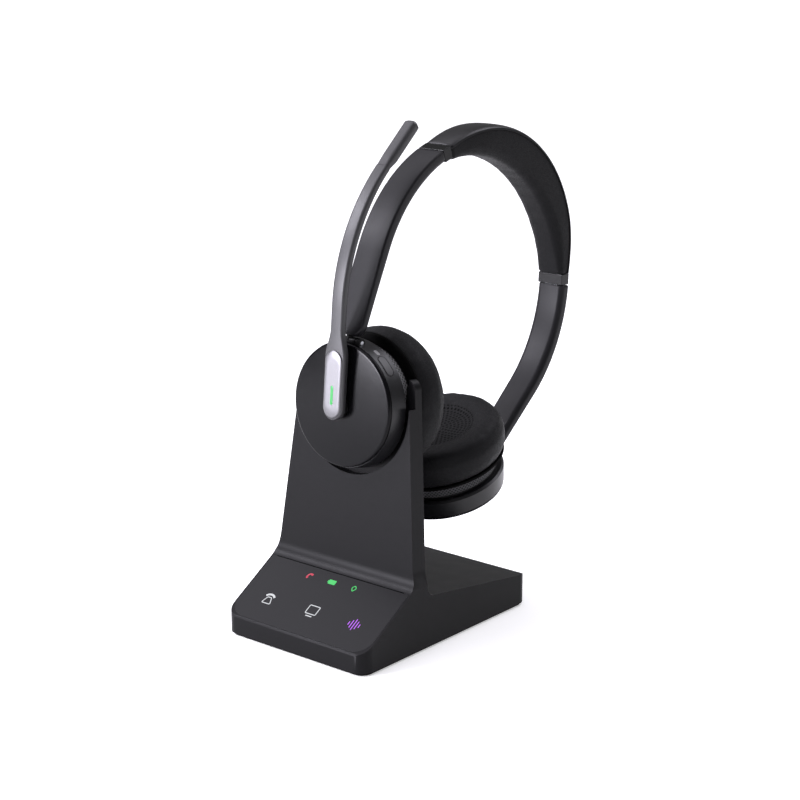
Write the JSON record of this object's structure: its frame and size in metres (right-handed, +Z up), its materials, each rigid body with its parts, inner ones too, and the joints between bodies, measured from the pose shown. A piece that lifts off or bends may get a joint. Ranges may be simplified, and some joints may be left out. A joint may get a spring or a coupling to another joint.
{
  "type": "office headset",
  "caption": "Dark over-head office headset with round padded ear cups and a folded-up microphone boom, docked by one cup in an upright charging stand with a sloped touch panel.",
  "frame": {"origin": "centre of the stand's footprint, on the desk", "axes": "+X to the right seen from the touch panel's side, +Y to the back of the stand, +Z up"},
  "size_m": [0.08, 0.1906, 0.2191],
  "materials": {
    "front_casing": "satin black",
    "rear_casing": "satin black",
    "bottom_plate": "matte black",
    "base_pad": "matte rubber",
    "ballast_plate": "plain steel",
    "touch_panel": "satin glass-like panel",
    "indicator_lenses": "clear lamp windows",
    "touch_board": "circuit board",
    "main_board": "circuit board",
    "rear_sockets": "bare metal",
    "ringer_speaker": "black",
    "cradle_liner": "soft black",
    "charging_pins": "gold plated",
    "cradle_magnet": "nickel plated",
    "base_screws": "zinc plated",
    "near_face_cover": "satin dark grey",
    "near_rim_housing": "satin dark grey",
    "near_hinge_bracket": "black",
    "near_neck_ring": "black",
    "near_vent_mesh": "fine acoustic mesh",
    "near_baffle_ring": "black",
    "near_speaker_driver": "dark grey",
    "near_cushion": "soft black artificial leather",
    "headset_board": "circuit board",
    "charging_pads": "gold plated",
    "near_hinge_pin": "bare steel",
    "near_yoke": "black",
    "near_arm_shell": "satin grey",
    "near_arm_cover": "satin dark grey",
    "near_slider_strip": "dark coated steel",
    "band_cover": "satin black",
    "band_frame": "matte black",
    "band_spring": "spring steel",
    "band_pad": "soft black artificial leather",
    "band_collars": "black",
    "far_arm_shell": "satin grey",
    "far_arm_cover": "satin dark grey",
    "far_slider_strip": "dark coated steel",
    "far_yoke": "black",
    "far_hinge_pin": "bare steel",
    "far_face_cover": "satin dark grey",
    "far_rim_housing": "satin dark grey",
    "far_hinge_bracket": "black",
    "far_neck_ring": "black",
    "far_vent_mesh": "fine acoustic mesh",
    "far_baffle_ring": "black",
    "far_speaker_driver": "dark grey",
    "far_cushion": "soft black artificial leather",
    "battery": "wrapped cell",
    "boom_hub": "black",
    "boom_arm": "satin grey",
    "boom_cap": "satin silver",
    "boom_lamp": "lit green",
    "boom_tip": "satin dark grey",
    "boom_microphone": "dark mesh",
    "call_button": "satin dark grey",
    "volume_rocker": "satin dark grey"
  },
  "bodies": {
    "stand": {"front_casing": "front_casing", "rear_casing": "rear_casing", "bottom_plate": "bottom_plate", "base_pad": "base_pad", "ballast_plate": "ballast_plate", "touch_panel": "touch_panel", "indicator_lenses": "indicator_lenses", "touch_board": "touch_board", "main_board": "main_board", "rear_sockets": "rear_sockets", "ringer_speaker": "ringer_speaker", "cradle_liner": "cradle_liner", "charging_pins": "charging_pins", "cradle_magnet": "cradle_magnet", "base_screws": "base_screws"},
    "near_cup": {"near_face_cover": "near_face_cover", "near_rim_housing": "near_rim_housing", "near_hinge_bracket": "near_hinge_bracket", "near_neck_ring": "near_neck_ring", "near_vent_mesh": "near_vent_mesh", "near_baffle_ring": "near_baffle_ring", "near_speaker_driver": "near_speaker_driver", "near_cushion": "near_cushion", "headset_board": "headset_board", "charging_pads": "charging_pads", "near_hinge_pin": "near_hinge_pin"},
    "near_yoke": {"near_yoke": "near_yoke"},
    "near_arm": {"near_arm_shell": "near_arm_shell", "near_arm_cover": "near_arm_cover", "near_slider_strip": "near_slider_strip"},
    "band": {"band_cover": "band_cover", "band_frame": "band_frame", "band_spring": "band_spring", "band_pad": "band_pad", "band_collars": "band_collars"},
    "far_arm": {"far_arm_shell": "far_arm_shell", "far_arm_cover": "far_arm_cover", "far_slider_strip": "far_slider_strip"},
    "far_yoke": {"far_yoke": "far_yoke"},
    "far_cup": {"far_face_cover": "far_face_cover", "far_rim_housing": "far_rim_housing", "far_hinge_bracket": "far_hinge_bracket", "far_neck_ring": "far_neck_ring", "far_vent_mesh": "far_vent_mesh", "far_baffle_ring": "far_baffle_ring", "far_speaker_driver": "far_speaker_driver", "far_cushion": "far_cushion", "battery": "battery", "far_hinge_pin": "far_hinge_pin"},
    "boom": {"boom_hub": "boom_hub", "boom_arm": "boom_arm", "boom_cap": "boom_cap", "boom_lamp": "boom_lamp", "boom_tip": "boom_tip", "boom_microphone": "boom_microphone"},
    "call_button": {"call_button": "call_button"},
    "volume_rocker": {"volume_rocker": "volume_rocker"}
  },
  "joints": [
    {"name": "dock_lift", "type": "slide", "parent": "stand", "child": "near_cup", "axis": [0, 0.0872, 0.9962], "range_m": [0, 0.06]},
    {"name": "near_tilt", "type": "hinge", "parent": "near_cup", "child": "near_yoke", "pos_m": [0, -0.01899, 0.13078], "axis": [1, 0, 0], "range_deg": [0, 5]},
    {"name": "near_swivel", "type": "hinge", "parent": "near_yoke", "child": "near_arm", "pos_m": [0, -0.01963, 0.13107], "axis": [0, 0.4163, 0.9092], "range_deg": [-10, 10]},
    {"name": "near_adjust", "type": "slide", "parent": "near_arm", "child": "band", "axis": [0, 0.9686, 0.2487], "range_m": [0, 0.018]},
    {"name": "far_adjust", "type": "slide", "parent": "band", "child": "far_arm", "axis": [0, 0.007, -1], "range_m": [0, 0.018]},
    {"name": "far_swivel", "type": "hinge", "parent": "far_arm", "child": "far_yoke", "pos_m": [0, 0.07276, 0.05992], "axis": [0, 0.7727, 0.6347], "range_deg": [-10, 10]},
    {"name": "far_tilt", "type": "hinge", "parent": "far_yoke", "child": "far_cup", "pos_m": [0, 0.07232, 0.06046], "axis": [1, 0, 0], "range_deg": [0, 20]},
    {"name": "boom_swing", "type": "hinge", "parent": "near_cup", "child": "boom", "pos_m": [0, -0.025, 0.104], "axis": [0, 0.9962, -0.0872], "range_deg": [-140, 140]},
    {"name": "call_press", "type": "slide", "parent": "near_cup", "child": "call_button", "axis": [-0.7071, -0.0616, -0.7044], "range_m": [0, 0.0005], "stiffness_N_per_m": 1500},
    {"name": "volume_rock", "type": "hinge", "parent": "near_cup", "child": "volume_rocker", "pos_m": [-0.01895, -0.01837, 0.12244], "axis": [0, 0.9962, -0.0872], "range_deg": [-3, 3], "stiffness_Nm_per_rad": 0.06}
  ]
}
